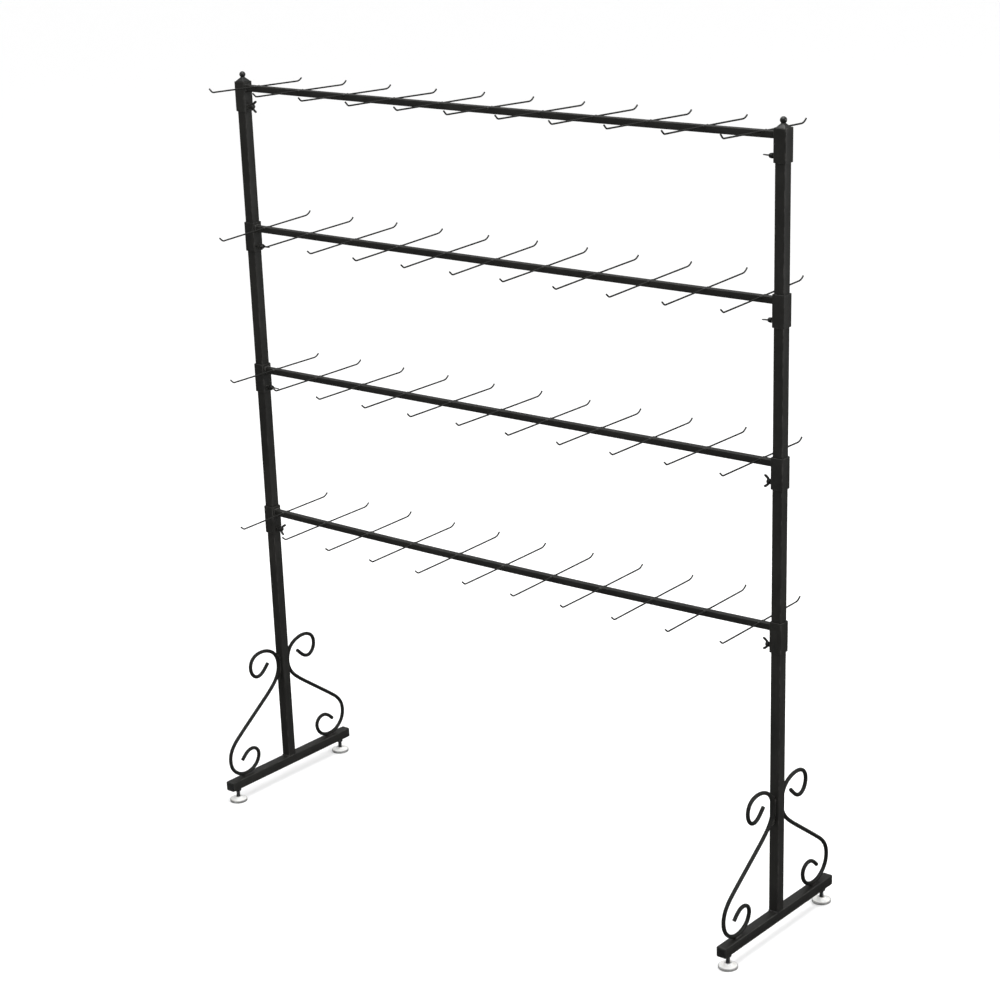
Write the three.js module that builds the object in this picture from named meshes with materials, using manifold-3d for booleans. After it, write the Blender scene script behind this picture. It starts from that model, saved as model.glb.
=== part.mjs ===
// Free-standing four-tier hook rack: two end frames of square tube with
// S-scroll braces, four hook rails carried by sleeves that slide on the posts
// and are clamped by wing screws, and four levelling feet.
// Millimetres. +X runs along the rails, -Y is the front, +Z is up.
// Origin: middle of the footprint, on the surface the feet stand on.

import * as THREE from "three";
import { mergeVertices } from "three/addons/utils/BufferGeometryUtils.js";
import Module from "manifold-3d";

const wasm = await Module();
wasm.setup();

// ------------------------------------------------------------ dimensions
const GAP = 0.3;               // clearance between pieces that touch

const POST_SPAN = 1300;        // between the two post axes
const POST_W = 21;             // square tube
const POST_WALL = 1.2;
const POST_TOP = 1549;
const TUBE_R = 1.6;            // outer corner radius of the square tubes

const BAR_W = 21;              // foot bar, square tube
const BAR_WALL = 1.5;
const BAR_Z = 41;              // height of the bar's axis
const BAR_HALF = 186;          // half length of the tube, without its caps
const CAP_T = 4.3;             // thickness of the end cap outside the tube
const CAP_PLUG = 12;

const RAIL_Z = [1536, 1247, 947, 627];   // axis height of each hook rail, top first
const RAIL_W = 12.7;
const RAIL_WALL = 1.2;
const HOOKS = 11;
const HOOK_END = 39;           // first hook to the post axis
const HOOK_D = 3.2;            // wire
const HOOK_RISE = 4.4;         // wire axis above the rail axis, close under the rail's top wall
// each hook tip: half length of the straight part, bend radius, length of the straight tip;
// the front tips turn up more sharply than the back ones
const HOOK_FRONT = { straight: 123, r: 8.5, tip: 8 };
const HOOK_BACK = { straight: 118.4, r: 20, tip: 2.5 };
const HOOK_BEND = 43;          // degrees both tips turn up
const HOOK_TILT = [-1.85, 2.3, 0.2, 1.4];  // degrees each row of hooks is off level, back end up
// how each welded rail runs off level and bows, as height over RAIL_Z at distance u
// from the middle (u = -1 and 1 on the post axes): c0 + c1 u + c2 u^2
const RAIL_BOW = [[-0.58, 0.44, 1.44], [-0.56, -0.19, 1.72], [0.2, 1.98, 0.44], [-1.89, 2.7, 6.03]];

const SLEEVE_W = 26;
const SLEEVE_WALL = 1.8;
const SLEEVE_H = 60;
const SLEEVE_ABOVE = 13;       // sleeve top above the rail axis
const SCREW_DROP = 37;         // wing-screw axis below the rail axis

const NUT_AF = 10;             // nut welded on the sleeve
const NUT_T = 5;
const SCREW_R = 3;
const SCREW_LEN = 24.2;
const WING_R = 12.4;           // half span of the wings
const WING_T = 2.4;

const ROD_D = 8;               // scroll rod

const FOOT_Y = 166;            // levelling stud from the post axis
const STUD_R = 4;
const STUD_Z0 = 3.6;
const STUD_Z1 = 41;
const PAD_R = 19;
const FOOT_NUT_AF = 13;
const LOCK_NUT_T = 6.5;
const BAR_NUT_T = 6;

const FINIAL_R = 6.3;          // ball
const FINIAL_NECK_R = 4.4;
const FINIAL_TOP = 19.8;       // ball top above the underside of the flange
const SKIRT_BASE = 19.4;       // four-sided skirt between the flange and the ball
const SKIRT_TOP = 9.6;
const SKIRT_Z = [1, 7.8];

// angle of each wing screw about its axis, as left by the hand (degrees)
const WING_ANGLE = { "1_left": 176, "1_right": 104, "2_left": 74, "2_right": 100,
                     "3_left": 70, "3_right": 183, "4_left": 157, "4_right": 180 };

// ------------------------------------------------------------ materials
const paint = new THREE.MeshStandardMaterial({ color: 0x2a2a27, roughness: 0.5, metalness: 0.2 });
const wirePaint = new THREE.MeshStandardMaterial({ color: 0x2c2c2a, roughness: 0.5, metalness: 0.2 });
const screwBlack = new THREE.MeshStandardMaterial({ color: 0x1c1c1b, roughness: 0.4, metalness: 0.5 });
const capPlastic = new THREE.MeshStandardMaterial({ color: 0x1e1f1e, roughness: 0.45, metalness: 0.0 });
const padPlastic = new THREE.MeshStandardMaterial({ color: 0xf0f0ee, roughness: 0.35, metalness: 0.0 });
const studSteel = new THREE.MeshStandardMaterial({ color: 0x26282a, roughness: 0.45, metalness: 0.7 });

// ------------------------------------------------------------ solid helpers
function solid(geometry, matrix) {
  let g = geometry.index ? geometry.toNonIndexed() : geometry.clone();
  for (const name of Object.keys(g.attributes)) if (name !== "position") g.deleteAttribute(name);
  if (matrix) g.applyMatrix4(matrix);
  g = mergeVertices(g, 1e-4);
  const index = g.index.array, tri = [];
  for (let i = 0; i < index.length; i += 3) {
    const [a, b, c] = [index[i], index[i + 1], index[i + 2]];
    if (a !== b && b !== c && c !== a) tri.push(a, b, c);
  }
  const make = (list) => new wasm.Manifold(new wasm.Mesh({
    numProp: 3,
    vertProperties: new Float32Array(g.attributes.position.array),
    triVerts: new Uint32Array(list),
  }));
  let m = make(tri);
  if (m.volume() < 0) {
    const flipped = [];
    for (let i = 0; i < tri.length; i += 3) flipped.push(tri[i], tri[i + 2], tri[i + 1]);
    m = make(flipped);
  }
  return m;
}

function surface(m) {
  const out = m.getMesh();
  const g = new THREE.BufferGeometry();
  g.setAttribute("position", new THREE.BufferAttribute(new Float32Array(out.vertProperties), 3));
  g.setIndex(new THREE.BufferAttribute(new Uint32Array(out.triVerts), 1));
  return g;
}

function matrix({ at = [0, 0, 0], turn = [0, 0, 0] }) {
  const m = new THREE.Matrix4().makeRotationFromEuler(new THREE.Euler(...turn));
  m.setPosition(...at);
  return m;
}

function squarePath(Kind, w, r) {
  const h = w / 2, s = new Kind();
  s.moveTo(-h + r, -h);
  s.lineTo(h - r, -h); s.absarc(h - r, -h + r, r, -Math.PI / 2, 0, false);
  s.lineTo(h, h - r); s.absarc(h - r, h - r, r, 0, Math.PI / 2, false);
  s.lineTo(-h + r, h); s.absarc(-h + r, h - r, r, Math.PI / 2, Math.PI, false);
  s.lineTo(-h, -h + r); s.absarc(-h + r, -h + r, r, Math.PI, Math.PI * 1.5, false);
  return s;
}

// square tube along local +Z, from z = 0 to z = length
function squareTube(w, wall, length, r = TUBE_R) {
  const s = squarePath(THREE.Shape, w, r);
  const h = w / 2 - wall;
  const hole = new THREE.Path();
  hole.moveTo(-h, -h); hole.lineTo(-h, h); hole.lineTo(h, h); hole.lineTo(h, -h); hole.closePath();
  s.holes.push(hole);
  return new THREE.ExtrudeGeometry(s, { depth: length, bevelEnabled: false, curveSegments: 1 });
}

function cylinder(r, z0, z1, n = 12, r2 = r) {
  const g = new THREE.CylinderGeometry(r2, r, z1 - z0, n, 1, false);
  g.rotateX(Math.PI / 2);
  g.translate(0, 0, (z0 + z1) / 2);
  return g;
}

// hexagon nut about local +Z with a round hole
function nut(af, thick, bore) {
  const R = af / Math.sqrt(3), s = new THREE.Shape();
  for (let i = 0; i < 6; i++) {
    const a = Math.PI / 6 + i * Math.PI / 3;
    if (i === 0) s.moveTo(R * Math.cos(a), R * Math.sin(a)); else s.lineTo(R * Math.cos(a), R * Math.sin(a));
  }
  s.closePath();
  const hole = new THREE.Path();
  for (let i = 12; i >= 0; i--) {
    const a = i * Math.PI / 6;
    if (i === 12) hole.moveTo(bore * Math.cos(a), bore * Math.sin(a)); else hole.lineTo(bore * Math.cos(a), bore * Math.sin(a));
  }
  s.holes.push(hole);
  return new THREE.ExtrudeGeometry(s, { depth: thick, bevelEnabled: false });
}

// a rod's centre line, given point by point, so that straights need no steps
class RodPath extends THREE.Curve {
  constructor(points) { super(); this.points = points; }
  getPoint(t, target = new THREE.Vector3()) {
    const n = this.points.length - 1, f = Math.min(Math.max(t, 0), 1) * n;
    const i = Math.min(Math.floor(f), n - 1);
    return target.copy(this.points[i]).lerp(this.points[i + 1], f - i);
  }
  getUtoTmapping(u) { return u; }
  getTangent(t, target = new THREE.Vector3()) {
    const n = this.points.length - 1, f = Math.min(Math.max(t, 0), 1) * n, i = Math.round(f);
    const dir = (k) => this.points[k + 1].clone().sub(this.points[k]).normalize();
    if (i <= 0) return target.copy(dir(0));
    if (i >= n) return target.copy(dir(n - 1));
    return target.copy(dir(i - 1).add(dir(i)).normalize());
  }
}

function rod(points, r, sides, phase = 0) {
  const s = new THREE.Shape();
  for (let i = 0; i < sides; i++) {
    const a = phase + i * 2 * Math.PI / sides;
    if (i === 0) s.moveTo(r * Math.cos(a), r * Math.sin(a)); else s.lineTo(r * Math.cos(a), r * Math.sin(a));
  }
  s.closePath();
  return new THREE.ExtrudeGeometry(s, { steps: points.length - 1, bevelEnabled: false, extrudePath: new RodPath(points) });
}

const rack = new THREE.Group();
function place(parent, name, material, m) {
  const mesh = new THREE.Mesh(surface(m), material);
  mesh.name = name;
  parent.add(mesh);
  return mesh;
}

// ------------------------------------------------------------ end frames
// S-scroll centre line as (distance from the post axis, height), from the free
// end of the upper curl, down the post face, out to the foot bar and round the
// lower curl. It touches the post face and the top of the foot bar.
const SCROLL = [
  [47, 288.5], [56, 279.5], [67, 270], [81, 266], [94, 273], [101, 290], [97, 307],
  [84, 317], [64, 320], [43, 315.5], [26.5, 305], [17.9, 291], [15, 276], [16.3, 262], [21.5, 249],
  [31, 236.5], [50, 220], [80, 198], [112, 175], [145, 151], [164, 136],
  [177, 119], [181.5, 101], [178, 82], [168, 68.5], [152, 58.7], [135, 55.9],
  [118, 58.9], [104, 67], [96, 79], [94, 92], [100, 102], [112, 107.5],
  [125, 106], [137, 98], [146, 89],
];

for (const [side, sx] of [["left", -1], ["right", 1]]) {
  const frame = new THREE.Group();
  frame.position.set(sx * POST_SPAN / 2, 0, 0);
  rack.add(frame);

  // post: open square tube standing on the foot bar
  const postZ0 = BAR_Z + BAR_W / 2 + GAP;
  const post = place(frame, `post_${side}`, paint, solid(squareTube(POST_W, POST_WALL, POST_TOP - postZ0)));
  post.position.z = postZ0;

  // post plug with its ball finial
  const flange = new THREE.ExtrudeGeometry(squarePath(THREE.Shape, POST_W, 1.8),
    { depth: 1.3, bevelEnabled: false, curveSegments: 1 });
  const skirt = new THREE.CylinderGeometry(SKIRT_TOP / Math.SQRT2, SKIRT_BASE / Math.SQRT2, SKIRT_Z[1] - SKIRT_Z[0], 4);
  skirt.rotateY(Math.PI / 4);
  skirt.rotateX(Math.PI / 2);
  skirt.translate(0, 0, (SKIRT_Z[0] + SKIRT_Z[1]) / 2);
  const plugW = POST_W - 2 * POST_WALL - 2 * GAP;
  const plug = new THREE.ExtrudeGeometry(squarePath(THREE.Shape, plugW, 0.8),
    { depth: 18, bevelEnabled: false, curveSegments: 1 });
  const ballZ = FINIAL_TOP - FINIAL_R;
  const neckTop = ballZ - Math.sqrt(FINIAL_R ** 2 - FINIAL_NECK_R ** 2);
  const profile = [new THREE.Vector2(0, 5), new THREE.Vector2(FINIAL_NECK_R, 5)];
  for (let i = 0; i <= 6; i++) {
    const a0 = Math.asin((neckTop - ballZ) / FINIAL_R), a = a0 + (Math.PI / 2 - a0) * i / 6;
    profile.push(new THREE.Vector2(i === 6 ? 0 : FINIAL_R * Math.cos(a), ballZ + FINIAL_R * Math.sin(a)));
  }
  const ball = new THREE.LatheGeometry(profile, 16);
  ball.rotateX(Math.PI / 2);
  const finial = solid(flange)
    .add(solid(plug, matrix({ at: [0, 0, -16] })))
    .add(solid(skirt))
    .add(solid(ball));
  place(frame, `finial_${side}`, capPlastic, finial).position.z = POST_TOP + GAP;

  // foot bar: open square tube with two stud holes in its lower wall
  let bar = solid(squareTube(BAR_W, BAR_WALL, 2 * BAR_HALF), matrix({ at: [0, BAR_HALF, 0], turn: [Math.PI / 2, 0, 0] }));
  for (const sy of [-1, 1]) {
    bar = bar.subtract(solid(cylinder(STUD_R + 0.6, -BAR_W / 2 - 1, -BAR_W / 2 + BAR_WALL + 1), matrix({ at: [0, sy * FOOT_Y, 0] })));
  }
  place(frame, `foot_bar_${side}`, paint, bar).position.z = BAR_Z;

  for (const [end, sy] of [["front", -1], ["back", 1]]) {
    const tag = `${side}_${end}`;

    // end cap: soft-edged flange with a plug inside the tube
    const capFlange = new THREE.ExtrudeGeometry(squarePath(THREE.Shape, BAR_W - 3.6, 1.2),
      { depth: CAP_T - 1.8 - 0.3, bevelEnabled: true, bevelThickness: 1.8, bevelSize: 1.8, bevelSegments: 2, curveSegments: 1 });
    const capCut = new THREE.BoxGeometry(60, 60, 10);
    const capPlugShape = new THREE.ExtrudeGeometry(squarePath(THREE.Shape, BAR_W - 2 * BAR_WALL - 2 * GAP, 1.0),
      { depth: CAP_PLUG + 1.5, bevelEnabled: false, curveSegments: 1 });
    const capSolid = solid(capFlange, matrix({ at: [0, 0, 0] }))
      .subtract(solid(capCut, matrix({ at: [0, 0, -5] })))
      .add(solid(capPlugShape, matrix({ at: [0, 0, -CAP_PLUG] })));
    const cap = place(frame, `foot_cap_${tag}`, capPlastic, capSolid);
    cap.rotation.x = sy < 0 ? Math.PI / 2 : -Math.PI / 2;
    cap.position.set(0, sy * (BAR_HALF + GAP), BAR_Z);

    // scroll
    const line = new THREE.CatmullRomCurve3(SCROLL.map(([y, z]) => new THREE.Vector3(0, sy * y, z)), false, "centripetal");
    place(frame, `scroll_${tag}`, paint, solid(rod(line.getPoints(44), ROD_D / 2, 6)));

    // levelling foot: nut in the bar, lock nut under it, stud and pad
    const foot = new THREE.Group();
    foot.position.set(0, sy * FOOT_Y, 0);
    frame.add(foot);
    place(foot, `bar_nut_${tag}`, studSteel, solid(nut(FOOT_NUT_AF, BAR_NUT_T, STUD_R + GAP)))
      .position.z = BAR_Z - BAR_W / 2 + BAR_WALL + GAP;
    place(foot, `lock_nut_${tag}`, studSteel, solid(nut(FOOT_NUT_AF, LOCK_NUT_T, STUD_R + GAP)))
      .position.z = BAR_Z - BAR_W / 2 - GAP - LOCK_NUT_T;
    place(foot, `level_stud_${tag}`, studSteel, solid(cylinder(STUD_R, STUD_Z0, STUD_Z1, 12)));
    const padProfile = [[0, 0], [17.6, 0], [PAD_R, 1.4], [PAD_R, 4.6], [17.2, 6.2], [10, 7.4], [8, 8.4], [7.4, 10.6],
      [STUD_R + GAP, 10.6], [STUD_R + GAP, STUD_Z0 - GAP], [0, STUD_Z0 - GAP]].map(([r, z]) => new THREE.Vector2(r, z));
    const padShape = new THREE.LatheGeometry(padProfile, 20);
    padShape.rotateX(Math.PI / 2);
    place(foot, `level_pad_${tag}`, padPlastic, solid(padShape));
  }
}

// ------------------------------------------------------------ hook rails
// one hook wire: straight through the rail, both tips turned up; heights from the rail axis
function hookPoints() {
  const end = HOOK_BEND * Math.PI / 180;
  const tipPoints = ({ straight, r, tip }, side) => {
    const half = [[straight, 0]];
    for (let i = 1; i <= 2; i++) {
      const a = end * i / 2;
      half.push([straight + r * Math.sin(a), r * (1 - Math.cos(a))]);
    }
    const [y, z] = half[half.length - 1];
    half.push([y + tip * Math.cos(end), z + tip * Math.sin(end)]);
    return half.map(([y2, z2]) => new THREE.Vector3(0, side * y2, HOOK_RISE + z2));
  };
  return [...tipPoints(HOOK_FRONT, -1).reverse(), ...tipPoints(HOOK_BACK, 1)];
}

// wing screw about local +Z: tip at z = 0, wings flaring away from the sleeve
function wingScrew() {
  const shank = solid(cylinder(SCREW_R, 0, 13, 12));
  const boss = solid(cylinder(5, 9.2, 16.6, 12, 4));
  const outline = [[-3, 10.2], [-4.6, 10.4], [-7.4, 13], [-11.8, 18.2], [-WING_R, 21.4], [-11, SCREW_LEN - 0.2], [-8.8, SCREW_LEN],
    [-6.4, 20.6], [-3.6, 16.4], [3.6, 16.4], [6.4, 20.6], [8.8, SCREW_LEN], [11, SCREW_LEN - 0.2], [WING_R, 21.4],
    [11.8, 18.2], [7.4, 13], [4.6, 10.4], [3, 10.2]];
  const s = new THREE.Shape(outline.map(([x, z]) => new THREE.Vector2(x, z)));
  const wings = new THREE.ExtrudeGeometry(s, { depth: WING_T, bevelEnabled: false });
  wings.translate(0, 0, -WING_T / 2);
  wings.rotateX(Math.PI / 2);
  return shank.add(boss).add(solid(wings));
}

RAIL_Z.forEach((railZ, i) => {
  const tier = i + 1;
  const carriage = new THREE.Group();
  carriage.position.z = railZ;
  rack.add(carriage);

  const railHalf = POST_SPAN / 2 - SLEEVE_W / 2 - GAP;
  let rail = solid(squareTube(RAIL_W, RAIL_WALL, 2 * railHalf, 1.0), matrix({ at: [-railHalf, 0, 0], turn: [0, Math.PI / 2, 0] }));
  const pitch = (POST_SPAN - 2 * HOOK_END) / (HOOKS - 1);
  const points = hookPoints();
  for (let k = 0; k < HOOKS; k++) {
    const x = -POST_SPAN / 2 + HOOK_END + k * pitch;
    rail = rail.add(solid(rod(points, HOOK_D / 2, 6), matrix({ at: [x, 0, 0], turn: [HOOK_TILT[i] * Math.PI / 180, 0, 0] })));
  }
  const [c0, c1, c2] = RAIL_BOW[i];
  const lift = (x) => { const u = x / (POST_SPAN / 2); return c0 + c1 * u + c2 * u * u; };
  rail = rail.refineToLength(330).warp((v) => { v[2] += lift(v[0]); });
  place(carriage, `hook_rail_${tier}`, wirePaint, rail);

  for (const [side, sx] of [["left", -1], ["right", 1]]) {
    const end = new THREE.Group();
    end.position.set(sx * POST_SPAN / 2, 0, lift(sx * POST_SPAN / 2));
    carriage.add(end);

    // sleeve with a clearance hole for the screw in its inner face
    const hole = solid(cylinder(SCREW_R + 0.5, 0, 8, 12), matrix({ at: [-sx * (SLEEVE_W / 2 - 4), 0, -SCREW_DROP], turn: [0, -sx * Math.PI / 2, 0] }));
    const sleeve = solid(squareTube(SLEEVE_W, SLEEVE_WALL, SLEEVE_H, 2.2), matrix({ at: [0, 0, SLEEVE_ABOVE - SLEEVE_H] })).subtract(hole);
    place(end, `sleeve_${tier}_${side}`, paint, sleeve);

    // nut welded on the inner face, bore towards the post
    const weldNut = place(end, `sleeve_nut_${tier}_${side}`, paint, solid(nut(NUT_AF, NUT_T, SCREW_R + GAP)));
    weldNut.rotation.y = -sx * Math.PI / 2;
    weldNut.position.set(-sx * (SLEEVE_W / 2 + GAP), 0, -SCREW_DROP);

    // wing screw: turned group, so that its local +Z points to the middle of the rack
    const axis = new THREE.Group();
    axis.rotation.y = -sx * Math.PI / 2;
    axis.position.set(-sx * (POST_W / 2 + GAP), 0, -SCREW_DROP);
    end.add(axis);
    place(axis, `wing_screw_${tier}_${side}`, screwBlack, wingScrew()).rotation.z = WING_ANGLE[`${tier}_${side}`] * Math.PI / 180;
  }
});

rack.updateMatrixWorld(true);
export default rack;
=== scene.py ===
import bpy, bmesh, math
from mathutils import Matrix, Vector
from mathutils import noise as mnoise


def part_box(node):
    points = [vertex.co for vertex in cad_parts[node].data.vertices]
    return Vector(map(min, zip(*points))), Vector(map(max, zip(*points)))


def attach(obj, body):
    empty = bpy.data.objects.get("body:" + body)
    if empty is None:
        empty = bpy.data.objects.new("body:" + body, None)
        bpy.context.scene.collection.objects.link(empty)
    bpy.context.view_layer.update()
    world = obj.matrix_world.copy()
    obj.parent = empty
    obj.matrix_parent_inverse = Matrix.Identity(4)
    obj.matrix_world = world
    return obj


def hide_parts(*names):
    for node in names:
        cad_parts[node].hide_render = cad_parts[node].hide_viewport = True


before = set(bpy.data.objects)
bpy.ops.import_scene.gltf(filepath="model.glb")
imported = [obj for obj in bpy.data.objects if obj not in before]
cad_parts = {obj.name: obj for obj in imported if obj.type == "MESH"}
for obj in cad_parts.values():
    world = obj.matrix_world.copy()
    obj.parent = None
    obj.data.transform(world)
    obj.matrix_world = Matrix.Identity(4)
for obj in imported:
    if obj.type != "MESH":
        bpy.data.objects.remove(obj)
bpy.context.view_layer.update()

MM = 0.001
TAU = 2 * math.pi
SIDES = (("left", -1), ("right", 1))
ENDS = (("front", -1), ("back", 1))
TIERS = (1, 2, 3, 4)


def hash01(*key):
    """A fixed number from 0 to 1 for a key, so nothing is random between runs."""
    h = 2166136261
    for k in key:
        for ch in str(k):
            h = ((h ^ ord(ch)) * 16777619) & 0xFFFFFFFF
    h ^= h >> 15
    h = (h * 2246822519) & 0xFFFFFFFF
    h ^= h >> 13
    return h / 0xFFFFFFFF


def jitter(amount, *key):
    return (hash01(*key) * 2 - 1) * amount


# ------------------------------------------------------------------ camera
CAM = dict(at=(2.8692, -3.4772, 2.2013), az=39.70, el=20.46, roll=-1.97, f=2373.6, px=500.0, py=616.9)


def make_camera():
    az, el, ro = (math.radians(CAM[k]) for k in ("az", "el", "roll"))
    fwd = Vector((-math.sin(az) * math.cos(el), math.cos(az) * math.cos(el), -math.sin(el)))
    right = Vector((math.cos(az), math.sin(az), 0))
    up = right.cross(fwd)
    r2 = right * math.cos(ro) + up * math.sin(ro)
    u2 = -right * math.sin(ro) + up * math.cos(ro)
    rot = Matrix((r2, u2, -fwd)).transposed()
    cam = bpy.data.cameras.new("camera")
    cam.sensor_width = 36.0
    cam.lens = CAM["f"] * 36.0 / 1000.0
    cam.shift_x = (500.0 - CAM["px"]) / 1000.0
    cam.shift_y = (CAM["py"] - 500.0) / 1000.0
    cam.clip_end = 200.0
    o = bpy.data.objects.new("camera", cam)
    o.matrix_world = Matrix.Translation(Vector(CAM["at"])) @ rot.to_4x4()
    bpy.context.scene.collection.objects.link(o)
    bpy.context.scene.camera = o


make_camera()


# ------------------------------------------------------------------ materials
def nodes_of(name):
    m = bpy.data.materials.new(name)
    m.use_nodes = True
    nt = m.node_tree
    bsdf = nt.nodes["Principled BSDF"]
    return m, nt, bsdf


def N(nt, kind, **values):
    n = nt.nodes.new(kind)
    for k, v in values.items():
        if hasattr(n, k) and k not in n.inputs:
            setattr(n, k, v)
        else:
            n.inputs[k].default_value = v
    return n


def noise_tex(nt, coord, scale, detail=2.0, rough=0.5, stretch=None):
    src = coord.outputs["Object"]
    if stretch:
        mp = nt.nodes.new("ShaderNodeMapping")
        mp.inputs["Scale"].default_value = stretch
        nt.links.new(src, mp.inputs["Vector"])
        src = mp.outputs["Vector"]
    t = nt.nodes.new("ShaderNodeTexNoise")
    t.inputs["Scale"].default_value = scale
    t.inputs["Detail"].default_value = detail
    t.inputs["Roughness"].default_value = rough
    nt.links.new(src, t.inputs["Vector"])
    return t.outputs["Fac"]


def remap(nt, value, a, b, c, d, smooth=False):
    m = nt.nodes.new("ShaderNodeMapRange")
    m.clamp = True
    if smooth:
        m.interpolation_type = "SMOOTHSTEP"
    for i, v in zip((1, 2, 3, 4), (a, b, c, d)):
        m.inputs[i].default_value = v
    nt.links.new(value, m.inputs[0])
    return m.outputs[0]


def math_node(nt, op, a, b):
    m = nt.nodes.new("ShaderNodeMath")
    m.operation = op
    m.use_clamp = False
    for i, v in enumerate((a, b)):
        if isinstance(v, (int, float)):
            m.inputs[i].default_value = v
        else:
            nt.links.new(v, m.inputs[i])
    return m.outputs[0]


def mix_color(nt, fac, a, b):
    m = nt.nodes.new("ShaderNodeMix")
    m.data_type = "RGBA"
    nt.links.new(fac, m.inputs["Factor"])
    for key, v in ((6, a), (7, b)):
        if isinstance(v, tuple):
            m.inputs[key].default_value = (*v, 1.0)
        else:
            nt.links.new(v, m.inputs[key])
    return m.outputs[2]


def bump(nt, height, strength, distance, normal=None):
    b = nt.nodes.new("ShaderNodeBump")
    b.inputs["Strength"].default_value = strength
    b.inputs["Distance"].default_value = distance
    nt.links.new(height, b.inputs["Height"])
    if normal is not None:
        nt.links.new(normal, b.inputs["Normal"])
    return b.outputs["Normal"]


# mask of worn edges that also carries painted light: the paints lighten edges with it as wear and painted highlight,
# and the pad greys its rim with it as painted shade
def wear_attr(nt):
    a = nt.nodes.new("ShaderNodeAttribute")
    a.attribute_type = "GEOMETRY"
    a.attribute_name = "wear_and_painted_light"
    return a.outputs["Fac"]


def paint_material(name, dark, light, edge_colour, rough=(0.40, 0.54), spec=0.45, peel=1.0, edge_wear_and_highlight_amount=0.55, grain_stretch=None):
    """Satin black powder coat: orange peel, slow tone drift, handling haze, and lighter edges that are partly rubbed
    wear and partly painted highlight.
    """
    m, nt, bsdf = nodes_of(name)
    tc = nt.nodes.new("ShaderNodeTexCoord")
    drift = remap(nt, noise_tex(nt, tc, 7.0, 4.0, 0.6), 0.33, 0.68, 0, 1, True)
    mottle = remap(nt, noise_tex(nt, tc, 95.0, 3.0, 0.55), 0.35, 0.70, 0, 1)
    tone = math_node(nt, "ADD", math_node(nt, "MULTIPLY", drift, 0.65), math_node(nt, "MULTIPLY", mottle, 0.35))
    base = mix_color(nt, tone, dark, light)
    # lighter edges, partly rubbed wear and partly painted edge highlight, broken up so that no edge is a drawn line
    edge_breakup = remap(nt, noise_tex(nt, tc, 62.0, 5.0, 0.65), 0.46, 0.66, 0, 1, True)
    fine = remap(nt, noise_tex(nt, tc, 900.0, 2.0, 0.6), 0.30, 0.62, 0.35, 1)
    edge = math_node(nt, "MULTIPLY", math_node(nt, "MULTIPLY", wear_attr(nt), edge_breakup), fine)
    edge = math_node(nt, "MULTIPLY", edge, edge_wear_and_highlight_amount)
    base = mix_color(nt, edge, base, edge_colour)
    # dust nibs and small scuffs
    nib = remap(nt, noise_tex(nt, tc, 1500.0, 1.0, 0.5), 0.70, 0.78, 0, 0.30)
    base = mix_color(nt, nib, base, tuple(min(1.0, c * 2.6) for c in light))
    scuff = remap(nt, noise_tex(nt, tc, 26.0, 6.0, 0.72, stretch=grain_stretch or (1, 1, 0.25)), 0.60, 0.72, 0, 0.28, True)
    base = mix_color(nt, scuff, base, tuple(c * 1.7 for c in light))
    nt.links.new(base, bsdf.inputs["Base Color"])
    r = remap(nt, noise_tex(nt, tc, 34.0, 4.0, 0.6), 0.30, 0.72, rough[0], rough[1])
    r = math_node(nt, "ADD", r, math_node(nt, "MULTIPLY", scuff, 0.35))
    nt.links.new(r, bsdf.inputs["Roughness"])
    bsdf.inputs["Metallic"].default_value = 0.0
    bsdf.inputs["IOR"].default_value = 1.5
    bsdf.inputs["Specular IOR Level"].default_value = spec
    n1 = bump(nt, noise_tex(nt, tc, 420.0, 2.0, 0.5), 0.30 * peel, 0.00016)
    n2 = bump(nt, noise_tex(nt, tc, 1700.0, 1.0, 0.5), 0.22 * peel, 0.00004, n1)
    nt.links.new(n2, bsdf.inputs["Normal"])
    return m


def plastic_material(name, dark, light, rough=(0.34, 0.46), spec=0.5):
    """Injection-moulded black plastic: fine spark texture, slight bloom, lighter edges that are partly rubbed and
    partly painted highlight.
    """
    m, nt, bsdf = nodes_of(name)
    tc = nt.nodes.new("ShaderNodeTexCoord")
    bloom = remap(nt, noise_tex(nt, tc, 55.0, 4.0, 0.6), 0.35, 0.70, 0, 1, True)
    base = mix_color(nt, bloom, dark, light)
    # painted highlight: edges are lightened, partly as rubbing and partly as light catching them
    edge = math_node(nt, "MULTIPLY", wear_attr(nt), remap(nt, noise_tex(nt, tc, 160.0, 3.0, 0.6), 0.42, 0.62, 0, 0.45, True))
    base = mix_color(nt, edge, base, tuple(min(1, c * 3.0) for c in light))
    nt.links.new(base, bsdf.inputs["Base Color"])
    r = remap(nt, noise_tex(nt, tc, 80.0, 3.0, 0.6), 0.32, 0.70, rough[0], rough[1])
    nt.links.new(r, bsdf.inputs["Roughness"])
    bsdf.inputs["IOR"].default_value = 1.49
    bsdf.inputs["Specular IOR Level"].default_value = spec
    n1 = bump(nt, noise_tex(nt, tc, 2300.0, 2.0, 0.6), 0.25, 0.00004)
    nt.links.new(n1, bsdf.inputs["Normal"])
    return m


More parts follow.
